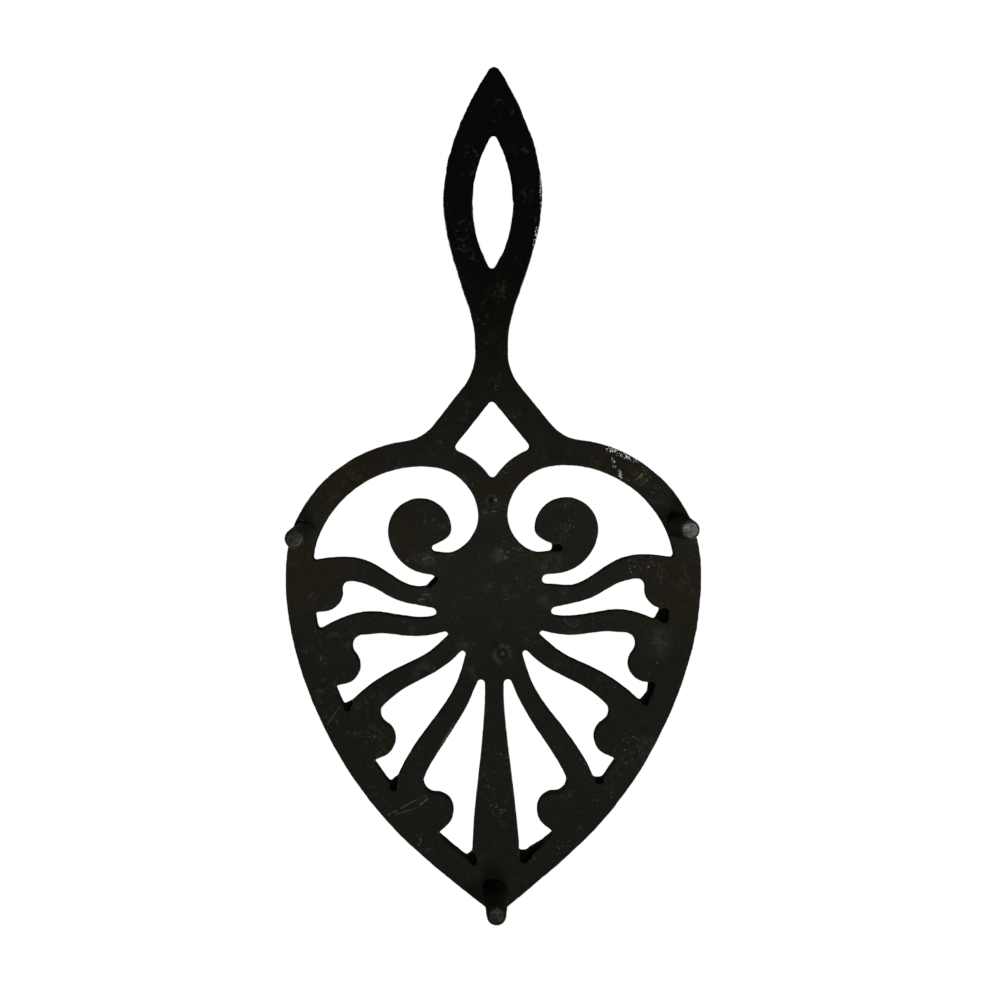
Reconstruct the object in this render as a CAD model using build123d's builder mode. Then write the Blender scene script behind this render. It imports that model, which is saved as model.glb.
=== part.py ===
"""Heart-shaped openwork trivet: one cast plate with a loop handle, standing on three riveted peg feet.

Millimetres, +Z up. The origin lies on the floor under the middle of the trivet, the handle points to -Y
and the heart's point to +Y. Plan places are measured from the hub of the palmette, X to the right and Y
towards the heart's point. Bearings are degrees from +X towards +Y, so -90 points to the handle.
"""
import os
from math import acos, cos, degrees, radians, sin, tan

from build123d import *

# Heights and cast edges
FOOT_HEIGHT = 20.5
PLATE_THICKNESS = 4.8
EDGE_BREAK = 0.45
CORNER_RADIUS = 0.8

# Heart: two round lobes, each running down a long flank to the point
HEART_WIDTH = 125.6
WIDEST_Y = -4.0
LOBE_FLATTENING = 0.8
LOBE_Y = -3.8
LOBE_RADIUS = 42.0
LOBE_END_BEARING = -25.0
FLANK = [(51.9, 40.0), (33.9, 68.0)]
POINT_REACH = 97.4
POINT_RADIUS = 2.5
POINT_BEARING = 141.0
RIM_WIDTH = 8.0

# Handle, neck and the struts that carry it
HANDLE_REACH = 158.5
HANDLE_END_RADIUS = 2.0
HANDLE_END_BEARING = 57.0
HANDLE_FLANK = [(8.95, -144.0), (14.95, -120.0), (9.05, -92.0)]
NECK_WIDTH = 10.0
NECK_Y = -75.0
NECK_RADIUS = 16.0
STRUT_BEARING = 51.5
STRUT_WIDTH = 9.1
STRUT_Y = -66.4
SHOULDER_RADIUS = 13.0
LOOP_TOP = -139.4
LOOP_BOTTOM = -96.2
LOOP_WIDTH = 12.3
LOOP_END_RADIUS = 1.2

# Diamond between the struts
DIAMOND_SIDE_Y = -43.1
DIAMOND_BOTTOM = -33.3
DIAMOND_ARC_RADIUS = 21.5
DIAMOND_CORNER_RADIUS = 1.1

# Scroll openings, right half: round the eye of the volute, between the rim and the first leaf
SCROLL_CORNER_Y = -9.6
SCROLL_CORNER_BEARING = 82.0
SCROLL_LEAF = [(47.5, -10.55), (39.0, -9.5), (31.0, -4.85), (24.0, -1.5)]
SCROLL_LEAF_BEARING = 190.0
SCROLL_ROOT = (16.2, -3.4)
SCROLL_ROOT_RADIUS = 1.55
VOLUTE = [(24.0, -6.4), (29.4, -11.0)]
EYE = (22.2, -18.6)
EYE_RADIUS = 9.6
SLOT_END = (17.6, -13.05)
SLOT_RADIUS = 1.1
SLOT_IN_BEARING = 22.0
SLOT_OUT_BEARING = 173.0
CAVITY = [(13.5, -11.6), (7.0, -15.6), (4.45, -23.0), (7.2, -31.0), (13.0, -36.1)]

# Openings between the leaves, right half, from the scroll to the middle rib. Each starts at a round root by
# the hub, follows the leaf above to a round notch, passes that leaf's curled tip, runs along its heel into
# the rim and comes back along the leaf below.
ROOT_FLARE = 12.0
CURL_RADIUS = 5.4
HEEL_LENGTH = 16.0
LEAF_OPENINGS = [
    dict(root=(18.7, 6.3), root_radius=1.35, root_bearing=-1.0, above=[(30.0, 2.1), (38.0, -2.2)],
         notch_radius=2.6, notch_bearing=188.0, arrival=-5.0, curl=(51.2, 0.3), heel_bearing=5.0,
         below=[(60.0, 15.5), (47.0, 8.3), (38.0, 6.1), (28.0, 7.4)]),
    dict(root=(14.7, 13.0), root_radius=0.9, root_bearing=28.0, above=[(24.0, 13.5), (34.0, 12.5)],
         notch_radius=3.5, notch_bearing=222.0, arrival=5.0, curl=(46.0, 22.4), heel_bearing=9.0,
         below=[(55.0, 45.0), (40.0, 30.1), (30.0, 23.7), (19.0, 18.0)]),
    dict(root=(9.5, 18.9), root_radius=0.95, root_bearing=62.0, above=[(17.0, 23.8), (28.0, 29.7)],
         notch_radius=3.5, notch_bearing=241.0, arrival=48.0, curl=(35.4, 44.6), heel_bearing=22.0,
         below=[(35.0, 72.0), (28.5, 53.8), (20.5, 41.5), (11.2, 27.4)]),
    dict(root=(4.05, 27.8), root_radius=1.15, root_bearing=80.0, above=[(8.0, 33.9), (16.0, 46.8)],
         notch_radius=3.5, notch_bearing=271.0, arrival=68.0, curl=(18.0, 66.4), heel_bearing=40.0,
         below=[(7.6, 94.0), (6.9, 74.0), (5.3, 58.0), (3.2, 38.0)]),
]

# Feet: pegs on the middle of the rim, riveted through the plate. The side feet, which are set by bearings
# from the middle of their lobes, don't quite match.
LEFT_FOOT_BEARING = -158.5
RIGHT_FOOT_BEARING = -24.0
POINT_FOOT_INSET = 6.7
FOOT_BASE_DIAMETER = 7.6
FOOT_END_DIAMETER = 5.6
FOOT_END_BREAK = 0.5
TENON_DIAMETER = 4.2
HEAD_DIAMETER = 6.2
HEAD_ANGLE = 90.0
TENON_CLEARANCE = 0.05

# Low stubs that the casting's vent and gate left on the underside: place and diameter
STUBS = [((0.0, -27.0), 4.4), ((2.5, 18.8), 7.2)]
STUB_HEIGHT = 0.6
STUB_TAPER = 50.0

# Points along the flank from which the inner edge of the rim is stepped off, and what counts as touching
RIM_STEPS = 8
TOUCH = 0.01


def polar(length, bearing):
    """Step of a given length on a bearing."""
    return Vector(length * cos(radians(bearing)), length * sin(radians(bearing)))


def curve(points, leave, arrive):
    """Smooth curve through points that leaves the first and reaches the last on given bearings."""
    return Spline(points, tangents=(polar(1, leave), polar(1, arrive)), tangent_scalars=(1, 1))


def corners_at(sketch, y):
    """Corners of a sketch that lie at one distance from the hub along Y."""
    return sketch.vertices().filter_by_position(Axis.Y, y - TOUCH, y + TOUCH)


def leaf_opening(root, root_radius, root_bearing, above, notch_radius, notch_bearing, arrival, curl,
                 heel_bearing, below):
    """Opening between two leaves. It runs out past the inner edge of the rim, which cuts it off."""
    root = Vector(*root)
    curl = Vector(*curl)
    upper_bearing = root_bearing - ROOT_FLARE
    lower_bearing = root_bearing + ROOT_FLARE
    upper_side = root + polar(root_radius, upper_bearing - 90)
    lower_side = root + polar(root_radius, lower_bearing + 90)
    notch = curl + polar(CURL_RADIUS + notch_radius, notch_bearing)
    toe_run = Vector(*below[1]) - Vector(*below[0])
    toe_bearing = Vector(1, 0, 0).get_signed_angle(toe_run, Vector(0, 0, 1))
    with BuildSketch() as opening:
        with BuildLine():
            notch_arc = CenterArc(notch, notch_radius, arrival - 90, notch_bearing - arrival - 90)
            curl_arc = CenterArc(curl, CURL_RADIUS, notch_bearing, heel_bearing + 90 - notch_bearing)
            curve([upper_side, *above, notch_arc @ 0], upper_bearing, arrival)
            heel = Line(curl_arc @ 1, (curl_arc @ 1) + polar(HEEL_LENGTH, heel_bearing))
            Line(heel @ 1, below[0])
            curve([*below, lower_side], toe_bearing, lower_bearing + 180)
            ThreePointArc(lower_side, root - polar(root_radius, root_bearing), upper_side)
        make_face()
    return opening.sketch


# Places that follow from the sizes
HUB_Y = (HANDLE_REACH - POINT_REACH) / 2
UNDERSIDE = Plane(origin=(0, HUB_Y, FOOT_HEIGHT))
TOP = UNDERSIDE.offset(PLATE_THICKNESS)
LOBE_CENTRE = Vector(HEART_WIDTH / 2 + LOBE_FLATTENING - LOBE_RADIUS, LOBE_Y)
LOBE_START_BEARING = -degrees(acos(-LOBE_CENTRE.X / LOBE_RADIUS))
WIDEST = Vector(HEART_WIDTH / 2, WIDEST_Y)
SCROLL_CORNER = Vector(HEART_WIDTH / 2 - RIM_WIDTH, SCROLL_CORNER_Y)
RIM_MIDDLE = LOBE_RADIUS - RIM_WIDTH / 2
FOOT_PLACES = {
    "left_foot": Vector(-LOBE_CENTRE.X, LOBE_CENTRE.Y) + polar(RIM_MIDDLE, LEFT_FOOT_BEARING),
    "right_foot": LOBE_CENTRE + polar(RIM_MIDDLE, RIGHT_FOOT_BEARING),
    "tip_foot": Vector(0, POINT_REACH - POINT_FOOT_INSET),
}

with BuildSketch() as heart:
    with BuildLine():
        lobe = CenterArc(LOBE_CENTRE, LOBE_RADIUS, LOBE_START_BEARING, LOBE_END_BEARING - LOBE_START_BEARING)
        curve([lobe @ 1, WIDEST], LOBE_END_BEARING + 90, 90)
        point_centre = Vector(0, POINT_REACH - POINT_RADIUS)
        point_arc = CenterArc(point_centre, POINT_RADIUS, POINT_BEARING - 90, 180 - POINT_BEARING)
        flank = curve([WIDEST, *FLANK, point_arc @ 0], 90, POINT_BEARING)
        Line(point_arc @ 1, lobe @ 0)
    make_face()
    mirror(about=Plane.YZ)

# Field: what the rim leaves open between the flanks
with BuildSketch() as field:
    with BuildLine():
        steps = [step / RIM_STEPS for step in range(RIM_STEPS + 1)]
        rim_line = Spline([(flank @ t) + (flank % t).rotate(Axis.Z, 90) * RIM_WIDTH for t in steps])
        Polyline(rim_line @ 1, lobe @ 0, ((rim_line @ 0).X, (lobe @ 0).Y), rim_line @ 0)
    make_face()
    mirror(about=Plane.YZ)

with BuildSketch() as handle:
    neck = Vector(NECK_WIDTH / 2, NECK_Y)
    strut_start = Vector(NECK_WIDTH / 2, STRUT_Y)
    strut_run = polar(1, STRUT_BEARING)
    strut_end = strut_start + strut_run * ((LOBE_Y - STRUT_Y) / strut_run.Y)
    with BuildLine():
        end_centre = Vector(0, HANDLE_END_RADIUS - HANDLE_REACH)
        end_arc = CenterArc(end_centre, HANDLE_END_RADIUS, -90, HANDLE_END_BEARING)
        curve([end_arc @ 1, *HANDLE_FLANK, neck], HANDLE_END_BEARING, 90)
        Polyline(neck, strut_start, strut_end, (0, LOBE_Y), end_arc @ 0)
    make_face()
    mirror(about=Plane.YZ)

with BuildSketch() as outline:
    add(heart.sketch)
    add(handle.sketch)
    fillet(corners_at(outline, STRUT_Y), NECK_RADIUS)
    shoulders = outline.vertices().filter_by_position(Axis.Y, LOBE_Y - LOBE_RADIUS, LOBE_Y - LOBE_RADIUS / 2)
    fillet(shoulders, SHOULDER_RADIUS)

with BuildSketch() as loop:
    loop_middle = (LOOP_TOP + LOOP_BOTTOM) / 2
    with BuildLine():
        ThreePointArc((0, LOOP_TOP), (LOOP_WIDTH / 2, loop_middle), (0, LOOP_BOTTOM))
        ThreePointArc((0, LOOP_TOP), (-LOOP_WIDTH / 2, loop_middle), (0, LOOP_BOTTOM))
    make_face()
    fillet(loop.vertices(), LOOP_END_RADIUS)

with BuildSketch() as diamond:
    strut_inside = strut_start + polar(STRUT_WIDTH, STRUT_BEARING + 90)
    apex = strut_inside - strut_run * (strut_inside.X / strut_run.X)
    side = apex + strut_run * ((DIAMOND_SIDE_Y - apex.Y) / strut_run.Y)
    with BuildLine():
        Polyline((-side.X, side.Y), apex, side)
        RadiusArc(side, (0, DIAMOND_BOTTOM), DIAMOND_ARC_RADIUS)
        RadiusArc((0, DIAMOND_BOTTOM), (-side.X, side.Y), DIAMOND_ARC_RADIUS)
    make_face()
    fillet(diamond.vertices(), DIAMOND_CORNER_RADIUS)

with BuildSketch() as scrolls:
    root_lower = Vector(*SCROLL_ROOT) + polar(SCROLL_ROOT_RADIUS, 90)
    root_upper = Vector(*SCROLL_ROOT) + polar(SCROLL_ROOT_RADIUS, -90)
    with BuildLine():
        rim_arc = CenterArc(LOBE_CENTRE, LOBE_RADIUS - RIM_WIDTH, -90, 90 + LOBE_END_BEARING)
        curve([rim_arc @ 1, SCROLL_CORNER], LOBE_END_BEARING + 90, SCROLL_CORNER_BEARING)
        curve([SCROLL_CORNER, *SCROLL_LEAF, root_lower], SCROLL_LEAF_BEARING, 180)
        ThreePointArc(root_lower, Vector(*SCROLL_ROOT) - polar(SCROLL_ROOT_RADIUS, 0), root_upper)
        eye_arc = CenterArc(EYE, EYE_RADIUS, 0, -180)
        curve([root_upper, *VOLUTE, eye_arc @ 0], 0, -90)
        slot_turn = SLOT_OUT_BEARING - SLOT_IN_BEARING
        slot_arc = CenterArc(SLOT_END, SLOT_RADIUS, SLOT_IN_BEARING - 90, slot_turn)
        curve([eye_arc @ 1, slot_arc @ 0], 90, SLOT_IN_BEARING)
        curve([slot_arc @ 1, *CAVITY, rim_arc @ 0], SLOT_OUT_BEARING, 0)
    make_face()
    mirror(about=Plane.YZ)
    fillet(corners_at(scrolls, SCROLL_CORNER_Y), CORNER_RADIUS)

with BuildSketch() as leaf_openings:
    for opening in LEAF_OPENINGS:
        add(leaf_opening(**opening))
    mirror(about=Plane.YZ)
    add(field.sketch, mode=Mode.INTERSECT)
    rim_corners = leaf_openings.vertices().filter_by(
        lambda corner: rim_line.distance_to(Vector(abs(corner.X), corner.Y)) < TOUCH
    )
    fillet(rim_corners, CORNER_RADIUS)

with BuildPart() as plate:
    with BuildSketch(UNDERSIDE):
        add(outline.sketch)
        add(loop.sketch, mode=Mode.SUBTRACT)
        add(diamond.sketch, mode=Mode.SUBTRACT)
        add(scrolls.sketch, mode=Mode.SUBTRACT)
        add(leaf_openings.sketch, mode=Mode.SUBTRACT)
    extrude(amount=PLATE_THICKNESS)
    top_outline = plate.faces().sort_by(Axis.Z)[-1].outer_wire()
    chamfer(top_outline.edges(), EDGE_BREAK)
    for place, diameter in STUBS:
        with BuildSketch(UNDERSIDE):
            with Locations(place):
                Circle(diameter / 2)
        extrude(amount=-STUB_HEIGHT, taper=STUB_TAPER)
    with Locations(*(TOP.from_local_coords(place) for place in FOOT_PLACES.values())):
        CounterSinkHole(
            TENON_DIAMETER / 2 + TENON_CLEARANCE,
            HEAD_DIAMETER / 2 + TENON_CLEARANCE,
            depth=PLATE_THICKNESS,
            counter_sink_angle=HEAD_ANGLE,
        )

plate.part.label = "plate"
os.makedirs("parts", exist_ok=True)
export_step(plate.part, "parts/plate.step")

for name, place in FOOT_PLACES.items():
    stand = Plane(origin=(place.X, HUB_Y + place.Y, 0), x_dir=(1, 0, 0), z_dir=(0, -1, 0))
    top_height = FOOT_HEIGHT + PLATE_THICKNESS
    head_depth = (HEAD_DIAMETER - TENON_DIAMETER) / 2 / tan(radians(HEAD_ANGLE / 2))
    with BuildPart() as foot:
        with BuildSketch(stand) as profile:
            with BuildLine():
                Polyline(
                    (0, 0),
                    (FOOT_END_DIAMETER / 2, 0),
                    (FOOT_BASE_DIAMETER / 2, FOOT_HEIGHT),
                    (TENON_DIAMETER / 2, FOOT_HEIGHT),
                    (TENON_DIAMETER / 2, top_height - head_depth),
                    (HEAD_DIAMETER / 2, top_height),
                    (0, top_height),
                    close=True,
                )
            make_face()
            end_corner = profile.vertices().group_by(Axis.Y)[0].sort_by(Axis.X)[-1]
            chamfer(end_corner, FOOT_END_BREAK)
        revolve(axis=Axis(stand.origin, (0, 0, 1)))
    foot.part.label = name
    export_step(foot.part, f"parts/{name}.step")
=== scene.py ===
from math import pi

import bmesh
import bpy
import numpy as np
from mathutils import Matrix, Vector, noise


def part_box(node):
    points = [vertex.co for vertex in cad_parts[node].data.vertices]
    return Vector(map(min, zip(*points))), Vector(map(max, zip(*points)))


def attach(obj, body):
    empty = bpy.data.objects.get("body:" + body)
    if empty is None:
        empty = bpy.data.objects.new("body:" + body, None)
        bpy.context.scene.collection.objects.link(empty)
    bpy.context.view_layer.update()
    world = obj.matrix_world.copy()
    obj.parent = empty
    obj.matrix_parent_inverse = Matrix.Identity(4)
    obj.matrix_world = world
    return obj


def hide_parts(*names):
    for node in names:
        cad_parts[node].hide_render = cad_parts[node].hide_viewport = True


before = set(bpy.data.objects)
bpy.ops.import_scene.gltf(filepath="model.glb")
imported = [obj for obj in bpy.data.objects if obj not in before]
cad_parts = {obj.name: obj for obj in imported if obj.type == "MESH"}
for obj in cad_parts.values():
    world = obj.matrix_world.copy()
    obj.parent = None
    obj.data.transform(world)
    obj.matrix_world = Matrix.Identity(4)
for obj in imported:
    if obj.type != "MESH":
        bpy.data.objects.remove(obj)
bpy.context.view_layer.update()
scene = bpy.context.scene

# Heights in the row frame, in metres
MM = 0.001
PLATE_THICKNESS = 4.8 * MM
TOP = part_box("plate")[1].z
UNDERSIDE = TOP - PLATE_THICKNESS
MIDDLE = UNDERSIDE + PLATE_THICKNESS / 2

# How close the meshes are, how much they are smoothed, and how uneven the casting is
PLATE_SKIN = dict(voxel=0.45 * MM, smoothing=4, unevenness=0.26 * MM, wave=9 * MM)
FOOT_SKIN = dict(voxel=0.25 * MM, smoothing=3, unevenness=0.14 * MM, wave=3 * MM)

# The handle of the photographed casting leans a little to the right from its neck, and its sides are lumpier
NECK_Y = -45.0 * MM
HANDLE_LEAN = 0.017
HANDLE_LUMPS = 1.6
HANDLE_FADE = 30.0 * MM

# Outlines in millimetres of the ends of openings that the casting closed flush with the underside
FILLS = [
    [(51.0, 35.6), (56.0, 35.2), (56.0, 43.4), (50.8, 42.6), (48.9, 39.2)],
    [(-20.7, 29.3), (-16.9, 25.2), (-14.0, 25.2), (-14.0, 29.6)],
]

# Outlines of webs sunk from the underside in the ends of some openings, which stand in for the shade there
WEBS = [
    [(51.0, 36.0), (52.8, 36.1), (52.7, 39.6), (51.7, 40.9), (48.9, 39.2)],
    [(-20.7, 29.3), (-17.2, 25.6), (-16.5, 26.6), (-19.5, 29.7)],
    [(46.9, 58.2), (48.0, 58.0), (48.6, 59.4), (47.7, 62.1), (46.4, 61.7)],
    [(46.5, 61.5), (47.7, 62.0), (46.0, 65.6), (44.3, 64.9), (44.3, 64.1)],
    [(30.4, 87.6), (33.4, 87.4), (32.3, 89.1), (31.0, 89.1)],
    [(7.1, 109.8), (11.5, 109.3), (10.8, 110.9), (8.6, 112.9), (7.6, 112.7), (7.0, 111.2)],
    [(10.0, 108.9), (12.7, 107.9), (14.8, 106.2), (14.0, 107.9), (10.8, 110.4)],
    [(-45.2, 64.4), (-43.8, 63.7), (-42.0, 63.3), (-44.0, 66.5), (-45.8, 65.9)],
    [(-32.2, 89.4), (-31.3, 88.0), (-30.2, 86.9), (-29.1, 86.7), (-29.9, 90.7), (-31.0, 90.7)],
    [(-9.0, 111.0), (-7.4, 110.0), (-6.0, 109.7), (-5.6, 112.3), (-6.9, 113.4), (-8.7, 111.8)],
    [(17.8, 17.0), (19.3, 16.4), (20.7, 16.6), (20.9, 17.6), (20.5, 18.5), (17.8, 18.5)],
]

# How far fills and webs stay inside the plate's faces, how deep webs lie, and how far pockets reach out
FILL_STEP = 0.02 * MM
WEB_STEP = 0.4 * MM
WEB_SINK = 2.4 * MM
POCKET_REACH = 1.0 * MM

# Marks on the underside in millimetres: (x, y, radius) for round areas, (start, end, width)
# for lines, and (x, y) for the stubs of the casting's vent and gate
BROWN_AREAS = [(-45, -4, 18), (-57, 22, 20), (-36, 76, 10), (36, -6, 10), (-22, 9, 13), (-30, 24, 9),
               (55, 30, 16), (0, -3, 14), (24, 9, 10)]
RUBBED_SPOTS = [(-19.7, 20.7, 4), (-20.5, 32.2, 4), (-25.5, 41.3, 4), (-22, 54, 5), (-8.5, 47, 3.5),
                (-7, 55, 3.5), (17.3, 23, 6), (15.5, 34, 4), (19, 53, 5), (1.2, 20, 4), (-29, 67, 5),
                (24, 45, 5), (50, 46, 7), (46, 80, 8)]
RUST_SPOTS = [(45.4, -3.7, 3), (-45, -5, 8), (-49, 1, 6), (-50, 60, 8), (-33, 75, 9), (-41, 62, 8),
              (-47, 45, 9), (-36, 92, 6)]
FLECKED_AREAS = [(44, 23, 8), (50, 26, 5), (24.4, 9.8, 4), (50.5, 0.5, 4), (45.4, -3.7, 3), (40, 78, 8),
                 (33, 96, 7), (30, 82, 8), (5, 20, 9), (-20, 88, 7), (-35, 78, 8), (-0.6, -31.7, 4),
                 (2, 73, 3), (2.3, 80, 4), (1.2, 95.5, 5), (20, 108, 7), (-24, 106, 4)]
HANDLE_MARKS = [(4.6, -122.5, 2), (3.2, -116.5, 3), (6.8, -114.7, 2), (2.1, -112, 2), (11, -102.5, 2.5),
                (-5.5, -101.5, 4), (-6.3, -96, 3), (11, -89, 3), (-12.9, -85.2, 2), (12.8, -81.6, 2),
                (-8.5, -79.5, 4), (-8.5, -74, 4), (-5.4, -70.4, 3), (6.9, -70.2, 2), (4.4, -63.7, 2),
                (3.5, -59.8, 4), (-2.5, -52, 3), (4.3, -48, 2)]
SCRATCHES = [((-32.7, 98.0), (-23.9, 93.3), 0.26), ((-30.0, 97.5), (-23.6, 95.7), 0.20),
             ((-22.7, 94.8), (-20.5, 93.1), 0.40), ((-50.4, 70.3), (-46.7, 64.8), 0.20),
             ((-12.2, 70.5), (-16.4, 77.2), 0.5), ((-21.1, 20.9), (-19.5, 20.0), 0.35),
             ((-18.7, 20.2), (-17.6, 21.6), 0.30), ((-21.4, 31.5), (-19.8, 31.3), 0.35),
             ((-22.7, 33.0), (-20.9, 32.6), 0.40), ((-0.1, 6.5), (1.0, 6.4), 0.30)]
CHIPPED_BANDS = [((35.4, -12.1), (40.0, -10.2), 1.4), ((40.0, -10.2), (43.6, -8.4), 1.0),
                 ((36.3, -9.0), (36.8, -6.8), 0.7), ((38.5, -5.5), (38.6, -3.3), 0.7),
                 ((15.3, -95), (15.2, -85), 0.35), ((14.1, -79.5), (12.9, -72.8), 0.5)]
YELLOW_CHIPS = (45.1, -3.7, 3.6)
VENT = (0.0, 3.55)
GATE = (2.5, 49.35)

# The part of its radius or width that a mark fills wholly, before it fades
AREA_CORE = 0.2
LINE_CORE = 0.3

# Where marks end on the walls: most fade round the plate's middle, and chips lower down
MARK_FADE = 0.4 * MM
CHIPS_FULL = UNDERSIDE + 0.6 * MM
CHIPS_GONE = UNDERSIDE + 1.4 * MM

# Fine scuffs: the turns at which they run, in radians, and their length and width
SCUFF_TURNS = (0.5, 1.7, 2.6)
SCUFF_LENGTH = 14 * MM
SCUFF_WIDTH = 0.30 * MM

# How much of each layer of the iron shows where it is strongest
SHOWN = dict(brown=0.6, spots=0.36, clouds=0.4, scuffs=0.08, more_scuffs_on_top=0.22, flecks=0.75,
             astray=0.5, marks=0.9, stub_painted_shade=0.6, gate_painted_shade=0.5, stub_wear_and_highlights=0.5, painted_vent_glint=0.7, rust=0.42,
             scratches=0.40, worn_edges=0.5, web_painted_shade=0.94)

# Changes of tone along or across the iron: two places in millimetres, and the amounts there
BROWN_BEFORE_POINT = (58, 15, 0.2, 1.0)
BROWN_AFTER_HANDLE = (-75, -20, 0.1, 1.0)
# Painted shade: darker towards the handle, over the lower half and towards the point
PAINTED_SHADE_HANDLE = (-73, 18, 0.25, 1.0)
PAINTED_SHADE_LOWER_HALF = (28, 58, 1.0, 0.84)
PAINTED_SHADE_POINT = (90, 122, 1.0, 0.88)
# Painted light: the left foot is paler, as where light falls on it
PAINTED_LIGHT_LEFT_FOOT = (-40, 0, 1.6, 1.0)
BRIGHT_RIGHT_FOOT = (10, 50, 0.0120, 0.0155)
TOWARDS_TIP_FOOT = (60, 100, 0.0, 1.0)
TIP_FOOT_SHINE = 0.45

# Colours of the iron
OLIVE_BLACK = (0.0105, 0.0113, 0.0086, 1)
BROWN_BLACK = (0.0136, 0.0121, 0.0090, 1)
BROWN = (0.0140, 0.0106, 0.0060, 1)
RUST = (0.036, 0.029, 0.016, 1)
RUBBED_GREY = (0.040, 0.041, 0.036, 1)
FLECK_GREY = (0.100, 0.099, 0.088, 1)
MARK_GREY = (0.0135, 0.0142, 0.0112, 1)
CHIP_WHITE = (0.62, 0.60, 0.56, 1)
CHIP_YELLOW = (0.13, 0.10, 0.05, 1)
# Painted shade: near black, in and beside the stubs and on the sunk webs
PAINTED_SHADE_BLACK = (0.0012, 0.0012, 0.0010, 1)
WORN_METAL = (1.0, 0.95, 0.84, 1)
DULL_METAL = (0.96, 1.0, 0.70, 1)
GRAIN_TONES = (0.80, 1.20)

# Specular levels: the underside and walls seen from it are dull with soot, and the rest is a little shiny
SOOTY = 0.0
RUBBED = 0.2

# Roughness of the iron and of the feet's worn ends, and how far it varies
ROUGHNESS = 0.57
END_ROUGHNESS = 0.42
ROUGHNESS_SPREAD = 0.09

# The skin's fine relief: its strength and depth, and its grain and pits against its mottle
RELIEF_STRENGTH = 0.3
RELIEF_DEPTH = 0.12 * MM
GRAIN_HEIGHT = 0.5
PIT_DEPTH = 0.8

# Numbers of a piece's irons: sooty, rubbed, and one of its own for webs or for worn ends
SOOTY_IRON, RUBBED_IRON, OWN_IRON = range(3)

# Limits between the irons: the slope of level faces, how far behind a rubbed wall the camera's axis lies at
# least, and the slope and height of the feet's worn ends
LEVEL = 0.7
WALL_OUT = -6 * MM
HANDLE_SIDE_OUT = -24 * MM
FOOT_SIDE_OUT = 26 * MM
END_SLOPE = -0.3
END_HEIGHT = 0.5 * MM

# Studio: the floor's size and the distances at which it is still matte and all white, its colours, and the
# world's light from below and above the horizon
FLOOR_SIZE = 8.0
FLOOR_MATTE = 0.22
FLOOR_WHITE = 0.60
PALE = (0.80, 0.80, 0.79, 1)
WHITE = (1, 1, 1, 1)
HORIZON = (-0.15, 0.10)
LIGHT_BELOW = 0.04
LIGHT_ABOVE = 0.40

# The camera's place on the plan, its distance from the underside, and its turn in radians
EYE = Vector((-1.3, -12.0)) * MM
EYE_DISTANCE = 390 * MM
EYE_TURN = 0.0085


def blocks(outlines, bottom, top):
    """Closed blocks between two heights, with outlines on the plan."""
    form = bmesh.new()
    for outline in outlines:
        corners = [form.verts.new((x * MM, y * MM, z)) for x, y in outline for z in (bottom, top)]
        bmesh.ops.convex_hull(form, input=corners)
    mesh = bpy.data.meshes.new("blocks")
    form.to_mesh(mesh)
    form.free()
    piece = bpy.data.objects.new("blocks", mesh)
    scene.collection.objects.link(piece)
    return piece


def close_mesh(node, voxel, smoothing, tools):
    """A close and even mesh of a CAD node, changed by tools, which are used up."""
    raw = bpy.data.objects.new("raw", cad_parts[node].data.copy())
    scene.collection.objects.link(raw)
    for tool, operation in tools:
        change = raw.modifiers.new("change", "BOOLEAN")
        change.object = tool
        change.operation = operation
        change.use_self = True
    skin = raw.modifiers.new("skin", "REMESH")
    skin.mode = "VOXEL"
    skin.voxel_size = voxel
    soften = raw.modifiers.new("soften", "SMOOTH")
    soften.factor = 0.5
    soften.iterations = smoothing
    bpy.context.view_layer.update()
    mesh = bpy.data.meshes.new_from_object(raw.evaluated_get(bpy.context.evaluated_depsgraph_get()))
    for used in [raw, *(tool for tool, _ in tools)]:
        bpy.data.objects.remove(used)
    mesh.materials.clear()
    return mesh


def cast_depth(point, wave):
    """How far the surface is sunk at a point, from 0 to 1: long waves with finer ones on them."""
    waves = [(1.0, 0.35), (0.4, 0.25), (0.14, 0.22)]
    depth = 0.5 + sum(height * noise.noise(point / (wave * length)) for length, height in waves)
    return min(max(depth, 0.0), 1.0)


def make_uneven(mesh, unevenness, wave, low, high):
    """Makes a mesh uneven like a casting, within a box: level faces sink, and sides go in and out."""
    place = np.array([vertex.co for vertex in mesh.vertices])
    normal = np.array([vertex.normal for vertex in mesh.vertices])
    sunk = np.array([cast_depth(Vector(point), wave) for point in place])
    sides = 1 - np.abs(normal[:, 2])
    past_neck = np.clip(NECK_Y - place[:, 1], 0, None)
    lumps = 1 + HANDLE_LUMPS * sides * np.clip(past_neck / HANDLE_FADE, 0, 1)
    place -= normal * (unevenness * lumps * (sunk - 0.5 * sides))[:, None]
    place[:, 0] += HANDLE_LEAN * past_neck
    place = np.clip(place, low, high)
    mesh.vertices.foreach_set("co", place.astype(np.float32).ravel())


def cast_copy(node, finish, voxel, smoothing, unevenness, wave, tools=()):
    """A close-meshed piece for a CAD node, changed by tools and uneven like a casting, in the node's box.

    finish gives the number of a face's material, from the face as it is before it is uneven.
    """
    mesh = close_mesh(node, voxel, smoothing, tools)
    for face in mesh.polygons:
        face.material_index = finish(face)
    make_uneven(mesh, unevenness, wave, *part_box(node))
    mesh.shade_smooth()
    mesh.name = "cast_" + node
    piece = bpy.data.objects.new("cast_" + node, mesh)
    scene.collection.objects.link(piece)
    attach(piece, "root")
    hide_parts(node)
    return piece


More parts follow.
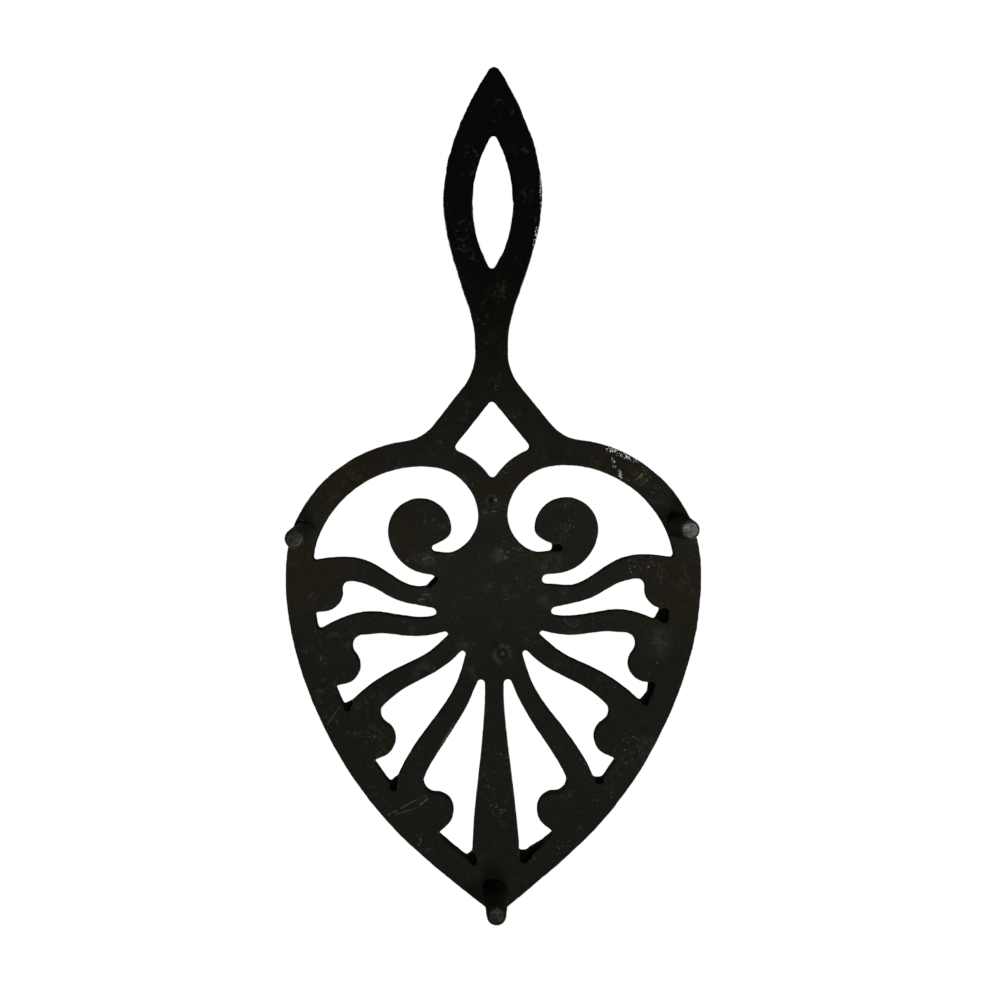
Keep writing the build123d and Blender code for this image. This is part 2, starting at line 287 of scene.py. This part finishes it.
class Nodes:
    """Short ways to add and join the nodes of one shader tree."""

    def __init__(self, tree):
        self.tree = tree
        tree.nodes.clear()

    def add(self, kind, *inputs, **settings):
        """A new node with its settings and its first inputs."""
        node = self.tree.nodes.new(kind)
        for key, value in settings.items():
            setattr(node, key, value)
        for socket, value in zip(node.inputs, inputs):
            self.set(socket, value)
        return node

    def set(self, socket, value):
        if isinstance(value, bpy.types.NodeSocket):
            self.tree.links.new(value, socket)
        else:
            socket.default_value = value

    def math(self, operation, a, b=0.0, clamp=False):
        return self.add("ShaderNodeMath", a, b, operation=operation, use_clamp=clamp).outputs[0]

    def times(self, *factors):
        product = factors[0]
        for factor in factors[1:]:
            product = self.math("MULTIPLY", product, factor)
        return product

    def highest(self, values):
        top = values[0]
        for value in values[1:]:
            top = self.math("MAXIMUM", top, value)
        return top

    def ramp(self, value, start, end, low=0.0, high=1.0):
        """Smooth step of a value from low at start to high at end."""
        node = self.add("ShaderNodeMapRange", value, start, end, low, high, interpolation_type="SMOOTHSTEP")
        return node.outputs[0]

    def vector(self, operation, a, b, output=0):
        return self.add("ShaderNodeVectorMath", a, b, operation=operation).outputs[output]

    def noise(self, vector, scale, detail, roughness=0.55):
        node = self.add("ShaderNodeTexNoise")
        self.set(node.inputs["Vector"], vector)
        self.set(node.inputs["Scale"], scale)
        self.set(node.inputs["Detail"], detail)
        self.set(node.inputs["Roughness"], roughness)
        return node.outputs[0]

    def mix(self, factor, a, b):
        """Colour a, or b where the factor is 1."""
        node = self.add("ShaderNodeMix", data_type="RGBA")
        self.set(node.inputs["Factor"], factor)
        for socket, colour in zip((s for s in node.inputs if s.type == "RGBA"), (a, b)):
            self.set(socket, colour)
        return next(s for s in node.outputs if s.type == "RGBA")

    def distance(self, plan, x, y):
        return self.vector("DISTANCE", plan, (x * MM, y * MM, 0), "Value")

    def area(self, plan, x, y, radius):
        """1 at a place on the plan, fading to 0 at a radius."""
        return self.ramp(self.distance(plan, x, y), radius * MM, AREA_CORE * radius * MM)

    def ring(self, plan, x, y, radius, width):
        """1 on a circle on the plan, fading to 0 at a width from it."""
        off = self.math("ABSOLUTE", self.math("SUBTRACT", self.distance(plan, x, y), radius * MM))
        return self.ramp(off, width * MM, AREA_CORE * width * MM)

    def line(self, plan, start, end, width):
        """1 along a straight line on the plan, fading to 0 at a width from it."""
        first = Vector((*start, 0)) * MM
        run = Vector((*end, 0)) * MM - first
        offset = self.vector("SUBTRACT", plan, first)
        along = self.vector("DOT_PRODUCT", offset, run / run.length_squared, "Value")
        along = self.math("ADD", along, 0.0, clamp=True)
        nearest = self.add("ShaderNodeVectorMath", run, operation="SCALE")
        self.set(nearest.inputs["Scale"], along)
        away = self.vector("DISTANCE", offset, nearest.outputs[0], "Value")
        return self.ramp(away, width * MM, LINE_CORE * width * MM)

    def hairlines(self, vector, turn, length, width):
        """Fine straight scratches that run at a turn from X on the plan."""
        turned = self.add("ShaderNodeMapping", vector)
        turned.inputs["Rotation"].default_value = (0, 0, turn)
        turned.inputs["Scale"].default_value = (1 / length, 1 / width, 1 / length)
        return self.ramp(self.noise(turned.outputs[0], scale=1.0, detail=2.0), 0.66, 0.76)


class Iron(Nodes):
    """Blackened cast iron. Masks that its layers share, then one method for each layer."""

    def __init__(self, name):
        self.material = bpy.data.materials.new(name)
        self.material.use_nodes = True
        super().__init__(self.material.node_tree)
        self.where = self.add("ShaderNodeTexCoord").outputs["Object"]
        self.x, self.y, self.z = self.add("ShaderNodeSeparateXYZ", self.where).outputs
        self.plan = self.add("ShaderNodeCombineXYZ", self.x, self.y).outputs[0]
        self.below = self.ramp(self.z, MIDDLE + MARK_FADE, MIDDLE - MARK_FADE)
        self.broad = self.noise(self.where, scale=55.0, detail=4.0)
        self.patchy = self.noise(self.where, scale=160.0, detail=6.0, roughness=0.65)
        self.mottle = self.noise(self.where, scale=330.0, detail=4.0, roughness=0.6)
        self.grain = self.noise(self.where, scale=1100.0, detail=3.0, roughness=0.6)
        self.fleck = self.noise(self.where, scale=1250.0, detail=1.0)

    def areas(self, places):
        return self.highest([self.area(self.plan, *place) for place in places])

    def lines(self, places):
        return self.highest([self.line(self.plan, *place) for place in places])

    def change(self, axis, start, end, low, high):
        """Smooth step along an axis between two places in millimetres."""
        return self.ramp(axis, start * MM, end * MM, low, high)

    def ground(self):
        """Olive black, and brown black in broad clouds on the upper half of the heart, finely grained."""
        above = self.change(self.y, *BROWN_BEFORE_POINT)
        off_handle = self.change(self.y, *BROWN_AFTER_HANDLE)
        clouds = self.times(above, off_handle, self.ramp(self.broad, 0.34, 0.60))
        colour = self.mix(clouds, OLIVE_BLACK, BROWN_BLACK)
        brown = self.times(self.areas(BROWN_AREAS), self.ramp(self.broad, 0.32, 0.52), SHOWN["brown"])
        colour = self.mix(brown, colour, BROWN)
        return self.vector("MULTIPLY", colour, self.ramp(self.grain, 0.25, 0.8, *GRAIN_TONES))

    def rubbed(self, colour):
        """Greyer where it has been rubbed: at the leaves' roots, in clouds all over and in fine scuffs."""
        spots = self.times(self.areas(RUBBED_SPOTS), self.ramp(self.mottle, 0.40, 0.62), self.below)
        spots = self.times(spots, SHOWN["spots"])
        clouds = self.ramp(self.patchy, 0.55, 0.82, high=SHOWN["clouds"])
        scuffs = [self.hairlines(self.where, turn, SCUFF_LENGTH, SCUFF_WIDTH) for turn in SCUFF_TURNS]
        more_on_top = self.times(self.math("SUBTRACT", 1.0, self.below), SHOWN["more_scuffs_on_top"])
        scuffed = self.times(self.highest(scuffs), self.math("ADD", more_on_top, SHOWN["scuffs"]))
        return self.mix(self.highest([spots, clouds, scuffed]), colour, RUBBED_GREY)

    def flecked(self, colour):
        """Pale flecks, in loose groups and astray."""
        flecks = self.ramp(self.fleck, 0.63, 0.71)
        grouped = self.times(flecks, self.areas(FLECKED_AREAS), self.ramp(self.patchy, 0.42, 0.54))
        astray = self.times(flecks, self.ramp(self.patchy, 0.54, 0.64), SHOWN["astray"])
        return self.mix(self.times(self.highest([grouped, astray]), SHOWN["flecks"]), colour, FLECK_GREY)

    def painted_shade_falloff(self, colour):
        """Painted shade: darker towards the handle's end, over the lower half and towards the point."""
        handle = self.change(self.y, *PAINTED_SHADE_HANDLE)
        lower_half = self.change(self.y, *PAINTED_SHADE_LOWER_HALF)
        point = self.change(self.y, *PAINTED_SHADE_POINT)
        return self.vector("MULTIPLY", colour, self.times(handle, lower_half, point))

    def marked(self, colour):
        """Small dull marks on the handle's painted shade."""
        mark = self.ramp(self.noise(self.where, scale=640.0, detail=2.0), 0.52, 0.62)
        marks = self.times(mark, self.areas(HANDLE_MARKS), self.below, SHOWN["marks"])
        return self.mix(marks, colour, MARK_GREY)

    def stubbed(self, colour):
        """Painted shade in and beside the two stubs, painted highlights on them, and their rubbed edges."""
        # Painted shade in the vent and round the gate
        vent_painted_shade = self.area(self.plan, VENT[0] - 0.8, VENT[1] - 0.6, radius=1.4)
        gate_painted_shade = self.times(self.ring(self.plan, *GATE, radius=1.3, width=0.7), SHOWN["gate_painted_shade"])
        painted_shade = self.times(self.highest([vent_painted_shade, gate_painted_shade]), self.below, SHOWN["stub_painted_shade"])
        colour = self.mix(painted_shade, colour, PAINTED_SHADE_BLACK)
        # Painted light on the vent's right side, with rubbed wear on the stubs' edges
        vent_edge = self.ring(self.plan, *VENT, radius=1.9, width=0.7)
        vent_painted_light = self.area(self.plan, VENT[0] + 1.3, VENT[1] - 0.4, radius=1.2)
        gate_edge = self.ring(self.plan, *GATE, radius=2.5, width=1.2)
        gate_middle = self.area(self.plan, *GATE, radius=0.9)
        gate_side = self.area(self.plan, GATE[0] - 0.7, GATE[1] + 2.8, radius=0.9)
        wear_and_highlights = self.highest([vent_edge, vent_painted_light, gate_edge, gate_middle, gate_side])
        wear_and_highlights = self.times(wear_and_highlights, self.ramp(self.mottle, 0.40, 0.58), self.below, SHOWN["stub_wear_and_highlights"])
        colour = self.mix(wear_and_highlights, colour, RUBBED_GREY)
        # Painted highlight: a glint on the vent
        painted_vent_glint = self.area(self.plan, VENT[0] + 0.9, VENT[1] - 0.6, radius=0.7)
        return self.mix(self.times(painted_vent_glint, self.below, SHOWN["painted_vent_glint"]), colour, FLECK_GREY)

    def chipped(self, colour):
        """Rust specks, scratches, and white and yellow chips on the underside."""
        speck = self.ramp(self.noise(self.where, scale=460.0, detail=2.0), 0.54, 0.68)
        rust = self.times(speck, self.areas(RUST_SPOTS), self.below, SHOWN["rust"])
        colour = self.mix(rust, colour, RUST)
        scratched = self.times(self.lines(SCRATCHES), self.ramp(self.grain, 0.33, 0.56), self.below)
        colour = self.mix(self.times(scratched, SHOWN["scratches"]), colour, FLECK_GREY)
        chip = self.ramp(self.noise(self.where, scale=2400.0, detail=2.0), 0.56, 0.63)
        off_walls = self.ramp(self.z, CHIPS_GONE, CHIPS_FULL)
        yellow_chips = self.times(self.area(self.plan, *YELLOW_CHIPS), chip, off_walls)
        colour = self.mix(yellow_chips, colour, CHIP_YELLOW)
        white_chips = self.times(self.lines(CHIPPED_BANDS), chip, off_walls)
        return self.mix(white_chips, colour, CHIP_WHITE)

    def worn_edges(self, colour):
        """Greyer in places along edges that stand out."""
        pointed = self.ramp(self.add("ShaderNodeNewGeometry").outputs["Pointiness"], 0.53, 0.62)
        worn = self.times(pointed, self.ramp(self.patchy, 0.46, 0.62), SHOWN["worn_edges"])
        return self.mix(worn, colour, RUBBED_GREY)

    def bare_metal(self):
        """Worn to the metal, brightest on the right foot and dull on the one at the heart's point."""
        shine = self.change(self.x, *BRIGHT_RIGHT_FOOT)
        at_tip = self.change(self.y, *TOWARDS_TIP_FOOT)
        shine = self.times(shine, self.ramp(at_tip, 0, 1, 1.0, TIP_FOOT_SHINE))
        wear = [self.ramp(value, 0.3, 0.7, 0.6, 1.4) for value in (self.patchy, self.grain)]
        return self.vector("MULTIPLY", self.mix(at_tip, WORN_METAL, DULL_METAL), self.times(shine, *wear))

    def finish(self, colour, gloss, metal=0.0, roughness=ROUGHNESS):
        """Joins the colour to a rough cast skin with small pits."""
        skin = self.math("ADD", self.times(self.grain, GRAIN_HEIGHT), self.mottle)
        pits = self.ramp(self.noise(self.where, scale=420.0, detail=1.0), 0.36, 0.26)
        bump = self.add("ShaderNodeBump")
        bump.inputs["Strength"].default_value = RELIEF_STRENGTH
        bump.inputs["Distance"].default_value = RELIEF_DEPTH
        self.set(bump.inputs["Height"], self.math("SUBTRACT", skin, self.times(pits, PIT_DEPTH)))
        shader = self.add("ShaderNodeBsdfPrincipled")
        shader.inputs["Metallic"].default_value = metal
        shader.inputs["Specular IOR Level"].default_value = gloss
        self.set(shader.inputs["Base Color"], colour)
        rough, smooth = roughness + ROUGHNESS_SPREAD, roughness - ROUGHNESS_SPREAD
        self.set(shader.inputs["Roughness"], self.ramp(self.patchy, 0.3, 0.7, rough, smooth))
        self.set(shader.inputs["Normal"], bump.outputs[0])
        self.add("ShaderNodeOutputMaterial", shader.outputs[0])
        return self.material


def plate_iron(name, gloss):
    """Iron of the plate, with every mark that the photograph shows."""
    iron = Iron(name)
    colour = iron.painted_shade_falloff(iron.flecked(iron.rubbed(iron.ground())))
    colour = iron.chipped(iron.stubbed(iron.marked(colour)))
    return iron.finish(iron.worn_edges(colour), gloss)


def painted_shade_web_iron():
    """Iron of the sunk webs, nearly black with painted shade."""
    iron = Iron("painted_shade_web_iron")
    return iron.finish(iron.mix(SHOWN["web_painted_shade"], iron.ground(), PAINTED_SHADE_BLACK), SOOTY)


def foot_iron(name, gloss):
    """Iron of the feet, with painted light that makes the left one paler than the others."""
    iron = Iron(name)
    painted_light = iron.change(iron.x, *PAINTED_LIGHT_LEFT_FOOT)
    colour = iron.vector("MULTIPLY", iron.rubbed(iron.ground()), painted_light)
    return iron.finish(iron.worn_edges(colour), gloss)


def foot_end_iron():
    """Bare metal of the feet's worn ends."""
    iron = Iron("foot_end_iron")
    return iron.finish(iron.bare_metal(), RUBBED, metal=1.0, roughness=END_ROUGHNESS)


def faces_out(face, least):
    """Whether a wall faces away from the camera's axis, by a least distance of the axis behind its plane."""
    return face.normal.xy.dot(face.center.xy - EYE) > least


def plate_finish(face):
    """Number of the plate's iron for a face: its own for webs, rubbed on top and outer walls, or sooty."""
    level = abs(face.normal.z) > LEVEL
    if level and face.normal.z < 0:
        sunk = face.center.z > UNDERSIDE + WEB_SINK / 2
        return OWN_IRON if sunk else SOOTY_IRON
    handle_side = face.center.y < NECK_Y and face.normal.x * face.center.x > 0
    least = HANDLE_SIDE_OUT if handle_side else WALL_OUT
    return RUBBED_IRON if level or faces_out(face, least) else SOOTY_IRON


def foot_finish(face):
    """Number of a foot's iron for a face: its own for the worn end, rubbed on the outer side, or sooty."""
    if face.normal.z < END_SLOPE and face.center.z < END_HEIGHT:
        return OWN_IRON
    return RUBBED_IRON if faces_out(face, FOOT_SIDE_OUT) else SOOTY_IRON


def dress(piece, materials):
    """Gives a piece its materials, in the order of their numbers."""
    for material in materials:
        piece.data.materials.append(material)


def pale_floor():
    """Pale matte floor that fades to white away from the object. It can't be seen from below."""
    material = bpy.data.materials.new("floor")
    material.use_nodes = True
    n = Nodes(material.node_tree)
    where = n.add("ShaderNodeTexCoord").outputs["Object"]
    away = n.add("ShaderNodeVectorMath", where, operation="LENGTH").outputs["Value"]
    matte = n.add("ShaderNodeBsdfDiffuse", PALE).outputs[0]
    white = n.add("ShaderNodeEmission", WHITE).outputs[0]
    fade = n.ramp(away, FLOOR_MATTE, FLOOR_WHITE)
    floor = n.add("ShaderNodeMixShader", fade, matte, white).outputs[0]
    clear = n.add("ShaderNodeBsdfTransparent").outputs[0]
    from_below = n.add("ShaderNodeNewGeometry").outputs["Backfacing"]
    n.add("ShaderNodeOutputMaterial", n.add("ShaderNodeMixShader", from_below, floor, clear).outputs[0])
    return material


def lamp(name, place, size, power):
    """Soft square lamp aimed at the plate."""
    data = bpy.data.lights.new(name, "AREA")
    data.size = size
    data.energy = power
    light = bpy.data.objects.new(name, data)
    light.location = place
    light.rotation_euler = (Vector((0, 0, MIDDLE)) - Vector(place)).to_track_quat("-Z", "Y").to_euler()
    light.visible_camera = False
    scene.collection.objects.link(light)


def studio_world():
    """White backdrop all round for the camera and for gloss, and a plain soft light, dim from below."""
    world = bpy.data.worlds.new("studio")
    world.use_nodes = True
    n = Nodes(world.node_tree)
    rays = n.add("ShaderNodeLightPath").outputs
    shown = n.highest([rays["Is Camera Ray"], rays["Is Glossy Ray"], rays["Is Transmission Ray"]])
    up = n.add("ShaderNodeSeparateXYZ", n.add("ShaderNodeTexCoord").outputs["Generated"]).outputs[2]
    strength = n.highest([shown, n.ramp(up, *HORIZON, LIGHT_BELOW, LIGHT_ABOVE)])
    n.add("ShaderNodeOutputWorld", n.add("ShaderNodeBackground", WHITE, strength).outputs[0])
    return world


# The object
fills = blocks(FILLS, UNDERSIDE + FILL_STEP, TOP - WEB_STEP)
pockets = blocks(WEBS, UNDERSIDE - POCKET_REACH, UNDERSIDE + WEB_SINK)
webs = blocks(WEBS, UNDERSIDE + WEB_SINK, TOP - WEB_STEP)
plate_tools = [(fills, "UNION"), (pockets, "DIFFERENCE"), (webs, "UNION")]
plate = cast_copy("plate", plate_finish, **PLATE_SKIN, tools=plate_tools)
plate_irons = [plate_iron("sooty_iron", SOOTY), plate_iron("rubbed_iron", RUBBED), painted_shade_web_iron()]
dress(plate, plate_irons)
foot_irons = [foot_iron("sooty_foot", SOOTY), foot_iron("rubbed_foot", RUBBED), foot_end_iron()]
for node in ("left_foot", "right_foot", "tip_foot"):
    dress(cast_copy(node, foot_finish, **FOOT_SKIN), foot_irons)

# The floor, which neither blocks the lamps below it nor lights the object
bpy.ops.mesh.primitive_plane_add(size=FLOOR_SIZE)
floor = bpy.context.object
floor.name = "floor"
floor.data.materials.append(pale_floor())
floor.visible_shadow = False
floor.visible_glossy = False
floor.visible_diffuse = False

# Light: two lamps for the underside, from the right and the foot of the photograph, and two for the top
lamp("under_right", place=(0.35, 0.12, -0.85), size=0.20, power=4.9)
lamp("under_foot", place=(0.06, 0.52, -1.30), size=0.22, power=10.6)
lamp("over_key", place=(-0.55, -0.45, 1.20), size=1.00, power=26.0)
lamp("over_fill", place=(0.90, 0.50, 0.90), size=0.80, power=9.0)
scene.world = studio_world()
scene.view_settings.view_transform = "Standard"

# The camera looks straight up at the underside, with the handle at the top of the picture
lens = bpy.data.cameras.new("camera")
lens.sensor_width = 36.0
lens.lens = 46.55
lens.shift_x = 0.0120
lens.shift_y = -0.0497
lens.clip_start = 0.01
camera = bpy.data.objects.new("camera", lens)
camera.location = (*EYE, UNDERSIDE - EYE_DISTANCE)
camera.rotation_euler = (pi, 0, EYE_TURN)
scene.collection.objects.link(camera)
scene.camera = camera
